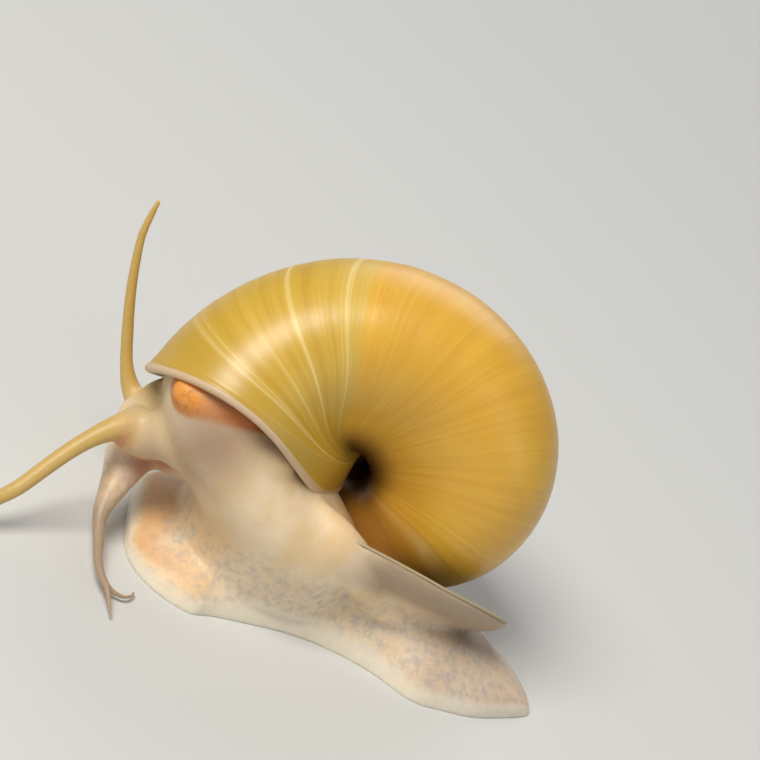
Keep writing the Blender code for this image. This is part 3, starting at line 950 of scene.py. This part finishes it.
def skin_material():
    nodes = Nodes("snail_skin")
    mottle = nodes.noise(1150.0, 6.0, 0.68)
    broad = nodes.noise(150.0, 3.0, 0.55)
    base = nodes.mix(nodes.spread(broad, 0.35, 0.65), srgb(226, 196, 148), srgb(236, 214, 180))
    uneven = nodes.spread(broad, 0.2, 0.5, 0.35, 1.0)
    low = nodes.times(nodes.attribute("mottled"), uneven)
    patch = nodes.mix(nodes.spread(broad, 0.4, 0.62), srgb(228, 196, 150), srgb(224, 204, 174))
    base = nodes.mix(nodes.times(low, 0.7), base, patch)
    grey = nodes.times(nodes.spread(mottle, 0.42, 0.64), low)
    base = nodes.tint(base, grey, 0.5, (168, 164, 160))
    dots = nodes.times(nodes.spread(nodes.cells(1250.0), 0.30, 0.12), low)
    base = nodes.tint(base, dots, 0.35, (240, 222, 190))
    tail = nodes.mix(nodes.spread(mottle, 0.4, 0.65), srgb(202, 182, 164), srgb(176, 164, 156))
    base = nodes.mix(nodes.times(nodes.attribute("tail"), 0.62), base, tail)
    for name, amount, colour in BODY_TINTS:
        base = nodes.tint(base, nodes.attribute(name), amount, colour)
    siphon = nodes.mix(nodes.attribute("siphon_end"), srgb(196, 108, 34), srgb(232, 158, 66))
    siphon = nodes.mix(nodes.spread(mottle, 0.5, 0.66, 0.0, 0.5), siphon, srgb(170, 92, 40))
    base = nodes.mix(nodes.attribute("siphon"), base, siphon)
    for name, amount, colour in EDGE_TINTS:
        base = nodes.tint(base, nodes.attribute(name), amount, colour)
    nodes.link(base, nodes.shader.inputs["Base Color"])
    nodes.shader.inputs["Roughness"].default_value = 0.45
    nodes.shader.inputs["Subsurface Weight"].default_value = 0.3
    nodes.shader.inputs["Subsurface Radius"].default_value = (1.0, 0.5, 0.25)
    nodes.shader.inputs["Subsurface Scale"].default_value = 0.0012
    nodes.shader.inputs["Coat Weight"].default_value = 0.12
    nodes.shader.inputs["Coat Roughness"].default_value = 0.3
    fine = nodes.bump(nodes.noise(2600.0, 4.0, 0.6), 0.35, 0.00012)
    nodes.link(nodes.bump(mottle, 0.4, 0.0002, fine), nodes.shader.inputs["Normal"])
    return nodes.material


def shell_material():
    nodes = Nodes("snail_shell")
    behind = nodes.attribute("behind")
    around_x = nodes.times(nodes.attribute("round_x"), 0.5)
    around_y = nodes.times(nodes.attribute("round_y"), 0.5)
    along = nodes.vector(behind, around_x, around_y)
    streak = nodes.noise(0.16, 4.0, 0.55, along)
    fine = nodes.noise(1.1, 3.0, 0.6, along)
    cloud = nodes.noise(110.0, 3.0, 0.5)
    old = nodes.mix(nodes.spread(streak, 0.3, 0.72), srgb(214, 160, 44), srgb(220, 170, 56))
    old = nodes.tint(old, nodes.spread(cloud, 0.45, 0.7), 0.5, (232, 186, 62))
    new = nodes.mix(nodes.spread(streak, 0.3, 0.72), srgb(196, 156, 44), srgb(212, 174, 66))
    new = nodes.tint(new, nodes.spread(streak, 0.56, 0.68), 0.7, (236, 220, 160))
    edge = nodes.math("ADD", behind, nodes.times(nodes.math("SUBTRACT", fine, 0.5), 5.0))
    colour = nodes.mix(nodes.spread(edge, 58.0, 62.0), new, old)
    band = nodes.times(nodes.spread(behind, 44.0, 56.0), nodes.spread(behind, 61.0, 59.0))
    colour = nodes.tint(colour, band, 0.18, (232, 206, 116))
    colour = nodes.tint(colour, nodes.spread(fine, 0.35, 0.7), 0.12, (150, 92, 14))
    colour = nodes.tint(colour, nodes.spread(behind, 22.0, 0.0), 0.4, (172, 138, 46))
    under = nodes.attribute("under")
    wall = nodes.times(nodes.spread(edge, 204.0, 238.0), nodes.spread(behind, 356.0, 330.0))
    colour = nodes.tint(colour, nodes.times(wall, under), 0.72, (140, 86, 30))
    # Painted highlight: a broken pale streak along the seam on the underside of the parietal
    # wall, standing in for the glints along it.
    seam_highlight = nodes.times(nodes.spread(edge, 207.0, 214.0), nodes.spread(edge, 224.0, 217.0))
    seam_highlight = nodes.times(nodes.times(seam_highlight, under), nodes.spread(cloud, 0.35, 0.6, 0.2, 0.8))
    colour = nodes.mix(seam_highlight, colour, srgb(222, 184, 120))
    # Painted shade that darkens the deep hollow of the umbilicus.
    colour = nodes.tint(colour, nodes.attribute("pit_shade"), 0.92, (60, 34, 14))
    colour = nodes.mix(nodes.attribute("lip"), colour, srgb(204, 176, 140))
    nodes.link(colour, nodes.shader.inputs["Base Color"])
    nodes.shader.inputs["Roughness"].default_value = 0.42
    nodes.shader.inputs["Coat Weight"].default_value = 0.25
    nodes.shader.inputs["Coat Roughness"].default_value = 0.28
    nodes.shader.inputs["Subsurface Weight"].default_value = 0.12
    nodes.shader.inputs["Subsurface Radius"].default_value = (1.0, 0.6, 0.2)
    nodes.shader.inputs["Subsurface Scale"].default_value = 0.001
    lines = nodes.bump(fine, 0.12, 0.0001)
    nodes.link(nodes.bump(streak, 0.12, 0.0003, lines), nodes.shader.inputs["Normal"])
    return nodes.material


def plate_material():
    nodes = Nodes("snail_operculum")
    ring = nodes.attribute("ring")
    wave = nodes.math("SINE", nodes.times(ring, 120.0))
    colour = nodes.mix(nodes.spread(wave, -1.0, 1.0), srgb(54, 46, 30), srgb(84, 72, 48))
    colour = nodes.mix(nodes.spread(ring, 0.955, 0.985), colour, srgb(176, 160, 124))
    nodes.link(colour, nodes.shader.inputs["Base Color"])
    nodes.shader.inputs["Roughness"].default_value = 0.5
    nodes.link(nodes.bump(nodes.noise(1500.0), 0.2, 0.0001), nodes.shader.inputs["Normal"])
    return nodes.material


def eye_material():
    nodes = Nodes("snail_eye")
    colour = nodes.mix(nodes.noise(1800.0), srgb(186, 116, 96), srgb(214, 150, 126))
    nodes.link(colour, nodes.shader.inputs["Base Color"])
    nodes.shader.inputs["Roughness"].default_value = 0.15
    nodes.shader.inputs["Coat Weight"].default_value = 0.6
    return nodes.material


def finish(obj, material, slot, *nodes):
    """Dresses a piece and ties it to the solids that it stands for."""
    obj.data.materials.clear()
    obj.data.materials.append(material)
    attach(obj, "root")
    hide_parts(*nodes)


finish(
    skin,
    skin_material(),
    "skin",
    "foot_front",
    "foot_middle",
    "foot_tail",
    "opercular_lobe",
    "neck",
    "head",
    "siphon",
    "tentacle_left",
    "tentacle_left_tip",
    "tentacle_right",
    "tentacle_right_tip",
    "palp_left",
    "palp_right",
)
finish(shell, shell_material(), "shell", "shell")
finish(plate, plate_material(), "operculum", "operculum")
finish(eye_left, eye_material(), "eye", "eye_left")
finish(eye_right, eye_material(), "eye", "eye_right")


# Floor, light and camera.
def make_floor():
    floor = mesh_object("floor", [(-3, -3, 0), (3, -3, 0), (3, 3, 0), (-3, 3, 0)], [(0, 1, 2, 3)])
    nodes = Nodes("floor_paint")
    nodes.shader.inputs["Base Color"].default_value = rgb(0.62, 0.62, 0.60)
    nodes.shader.inputs["Roughness"].default_value = 0.85
    floor.data.materials.append(nodes.material)


make_floor()


def area_light(name, place, target, size, power, colour):
    data = bpy.data.lights.new(name, "AREA")
    data.size = size
    data.energy = power
    data.color = colour
    light = bpy.data.objects.new(name, data)
    bpy.context.collection.objects.link(light)
    light.location = place
    light.rotation_euler = (Vector(target) - Vector(place)).to_track_quat("-Z", "Y").to_euler()


area_light("key", (-0.30, -0.24, 0.55), (0.0, 0.0, 0.015), 0.3, 4.4, (1.0, 0.97, 0.92))
area_light("fill", (0.55, -0.45, 0.3), (0.0, 0.0, 0.01), 0.6, 0.9, (0.95, 0.98, 1.0))
area_light("back", (0.15, 0.6, 0.4), (0.0, 0.0, 0.01), 0.5, 1.4, (1.0, 1.0, 1.0))

world = bpy.data.worlds.new("studio")
world.use_nodes = True
world.node_tree.nodes["Background"].inputs[0].default_value = rgb(0.9, 0.92, 0.95)
world.node_tree.nodes["Background"].inputs[1].default_value = 0.24
bpy.context.scene.world = world
bpy.context.scene.view_settings.view_transform = "Standard"

# The camera's place in metres, its angles in degrees, and its focal length in pixels.
CAMERA_PLACE = (-0.0491, -0.21953, 0.13113)
CAMERA_AZIMUTH = -14.0
CAMERA_ELEVATION = 25.0
CAMERA_ROLL = 32.5
FOCAL_PIXELS = 250.0 / 0.095
PICTURE_PIXELS = 760.0
SENSOR_WIDTH = 36.0


def make_camera():
    azimuth = math.radians(CAMERA_AZIMUTH)
    elevation = math.radians(CAMERA_ELEVATION)
    roll = math.radians(CAMERA_ROLL)
    right = Vector((math.cos(azimuth), math.sin(azimuth), 0.0))
    up = Vector(
        (
            -math.sin(azimuth) * math.sin(elevation),
            math.cos(azimuth) * math.sin(elevation),
            math.cos(elevation),
        )
    )
    back = right.cross(up)
    turned_right = right * math.cos(roll) + up * math.sin(roll)
    turned_up = up * math.cos(roll) - right * math.sin(roll)
    data = bpy.data.cameras.new("camera")
    data.sensor_width = SENSOR_WIDTH
    data.lens = SENSOR_WIDTH * FOCAL_PIXELS / PICTURE_PIXELS
    data.clip_start = 0.01
    data.clip_end = 20.0
    camera = bpy.data.objects.new("camera", data)
    bpy.context.collection.objects.link(camera)
    matrix = Matrix((turned_right, turned_up, back)).transposed().to_4x4()
    matrix.translation = Vector(CAMERA_PLACE)
    camera.matrix_world = matrix
    bpy.context.scene.camera = camera


make_camera()
